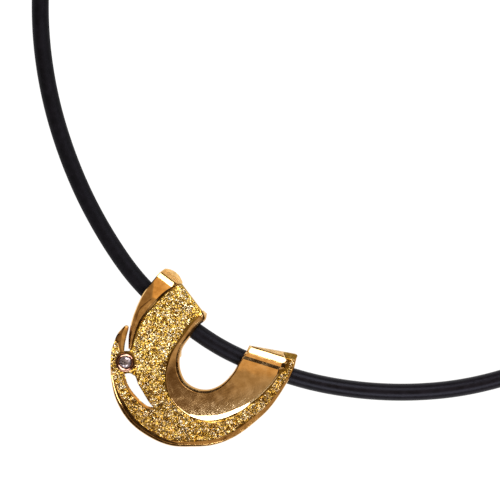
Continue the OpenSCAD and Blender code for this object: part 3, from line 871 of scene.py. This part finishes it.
# Painted reflections: dark and pale flecks in the stone's colour stand in for its sparkle
painted_sparkle = put(tree, "ShaderNodeTexVoronoi", {"Vector": on_object(tree), "Scale": 3200.0}).outputs["Color"]
painted_sparkle = put(tree, "ShaderNodeSeparateXYZ", {0: painted_sparkle}).outputs["X"]
tree.links.new(two_tones(tree, painted_sparkle, 0, (0.02, 0.016, 0.02), 1, (0.44, 0.38, 0.43)),
               skin.inputs["Base Color"])
skin.inputs["Metallic"].default_value = 0.6
skin.inputs["IOR"].default_value = 1.9
skin.inputs["Roughness"].default_value = 0.18
diamond.data.materials.append(clear)
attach(diamond, "root")
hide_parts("diamond")


# The clasp is a plain turned barrel of gold, hidden beyond the picture. Each end is a socket with a
# rolled rim that grips the cord, and a groove in the middle shows where its two halves screw together.
half, radius = 7, 2.5
socket_r, socket_end = 1.6, half - 4.2
# Radii and heights of one half, from the socket's bottom over the rim to the middle groove
profile = [(0.001, socket_end), (socket_r, socket_end), (socket_r, half - 0.15), (1.68, half - 0.03),
           (1.8, half), (1.95, half - 0.02), (2.1, half - 0.2), (2.12, half - 0.5), (2.02, half - 0.62),
           (2.02, half - 0.75), (2.3, half - 0.85), (2.45, half - 1.1), (radius, half - 1.5),
           (radius, 0.3), (2.42, 0.2), (2.42, 0.14), (2.3, 0.05)]
profile += [(r, -z) for r, z in reversed(profile)]
turn = math.radians(150)
ahead = np.array([math.cos(turn), math.sin(turn), 0])
sideways = np.array([-math.sin(turn), math.cos(turn), 0])
upwards = np.array([0, 0, 1])
middle = np.array([29.5, 59.3, radius]) - [*pendant_at, 0]
rings = []
for a in np.radians(np.linspace(0, 360, 64, endpoint=False)):
    out = sideways * math.cos(a) + upwards * math.sin(a)
    rings.append(np.array([middle + ahead * z + out * r for r, z in profile]))
points, faces = loft(rings + rings[:1])
clasp = solid("barrel_clasp", points, faces[:-2], crease=40)
clasp.data.materials.append(bright_gold)
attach(clasp, "root")
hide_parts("clasp")


# The table is a lit panel of plain white acrylic, and the light is that of a small studio: softboxes to
# the right, behind and in front, and a dim warm room above and to the left, which the gold mirrors.
reach = 3
card = bpy.data.meshes.new("table")
card.from_pydata([(-reach, -reach, 0), (reach, -reach, 0), (reach, reach, 0), (-reach, reach, 0)], [],
                 [(0, 1, 2, 3)])
table = shown("table", card)
white, tree, skin = new_finish("lit_acrylic")
cloud = put(tree, "ShaderNodeTexNoise", {"Vector": on_object(tree), "Scale": 300, "Detail": 3})
tone = put(tree, "ShaderNodeMapRange", {"Value": cloud.outputs["Fac"], "To Min": 0.1, "To Max": 0.12})
tree.links.new(tone.outputs[0], skin.inputs["Base Color"])
skin.inputs["Roughness"].default_value = 0.9
skin.inputs["Specular IOR Level"].default_value = 0.1
skin.inputs["Emission Color"].default_value = (1, 1, 1, 1)
skin.inputs["Emission Strength"].default_value = 0.99
table.data.materials.append(white)


def direction(azimuth, zenith):
    """A direction from the table, from its angle round it and its angle from straight above."""
    a, z = math.radians(azimuth), math.radians(zenith)
    return Vector((math.sin(z) * math.cos(a), math.sin(z) * math.sin(a), math.cos(z)))


def softbox(name, azimuth, zenith, across):
    """A warm white rectangular light over the pendant, set by its direction and its width in degrees."""
    away = 0.7
    tall = 27
    radiance = 6.0
    over = Vector((-0.035, -0.06, 0))
    aim = direction(azimuth, zenith)
    lamp = bpy.data.lights.new(name, "AREA")
    lamp.shape = "RECTANGLE"
    lamp.size = 2 * away * math.tan(math.radians(across / 2))
    lamp.size_y = 2 * away * math.tan(math.radians(tall / 2))
    lamp.energy = radiance * math.pi * lamp.size * lamp.size_y
    lamp.color = (1, 0.98, 0.95)
    box = bpy.data.objects.new(name, lamp)
    box.location = aim * away + over
    box.rotation_euler = aim.to_track_quat("Z", "Y").to_euler()
    box.visible_camera = False
    bpy.context.scene.collection.objects.link(box)


softbox("right_softbox", 42, 44, 24)
softbox("back_softbox", 76, 44, 22)
softbox("front_softbox", -94, 45, 54)

# The room that the gold mirrors, from the horizon up: bright as the table, a dark band, a warm ceiling
room = bpy.data.worlds.new("studio")
bpy.context.scene.world = room
room.use_nodes = True
tree = room.node_tree
around = put(tree, "ShaderNodeTexCoord").outputs["Generated"]
toward = put(tree, "ShaderNodeSeparateXYZ", {0: around})
level = put(tree, "ShaderNodeValToRGB", {"Fac": toward.outputs["Z"]})
steps = [(0.0, (1.0, 0.93, 0.8)), (0.12, (0.8, 0.66, 0.48)), (0.22, (0.03, 0.017, 0.01)),
         (0.48, (0.03, 0.017, 0.01)), (0.6, (0.27, 0.18, 0.105)), (0.88, (0.37, 0.26, 0.155)),
         (0.96, (0.51, 0.37, 0.225)), (1.0, (0.47, 0.345, 0.21))]
ramp = level.color_ramp
ramp.elements[0].position, ramp.elements[0].color = steps[0][0], (*steps[0][1], 1)
ramp.elements[1].position, ramp.elements[1].color = steps[-1][0], (*steps[-1][1], 1)
for at, colour in steps[1:-1]:
    ramp.elements.new(at).color = (*colour, 1)


def patch(azimuth, zenith, inner, outer):
    """A soft round patch of the room, as a number from 0 outside it to 1 in it."""
    near = put(tree, "ShaderNodeVectorMath", {0: around, 1: direction(azimuth, zenith)},
               operation="DOT_PRODUCT").outputs["Value"]
    return put(tree, "ShaderNodeMapRange", {
        "Value": near, "From Min": math.cos(math.radians(outer)),
        "From Max": math.cos(math.radians(inner))}, interpolation_type="SMOOTHSTEP").outputs[0]


shade = mixed(tree, patch(213, 20, 4, 17), level.outputs["Color"], (0.13, 0.077, 0.037))
glow = mixed(tree, patch(56, 19, 6, 16), shade, (0.84, 0.54, 0.25))
tree.links.new(glow, tree.nodes["Background"].inputs["Color"])
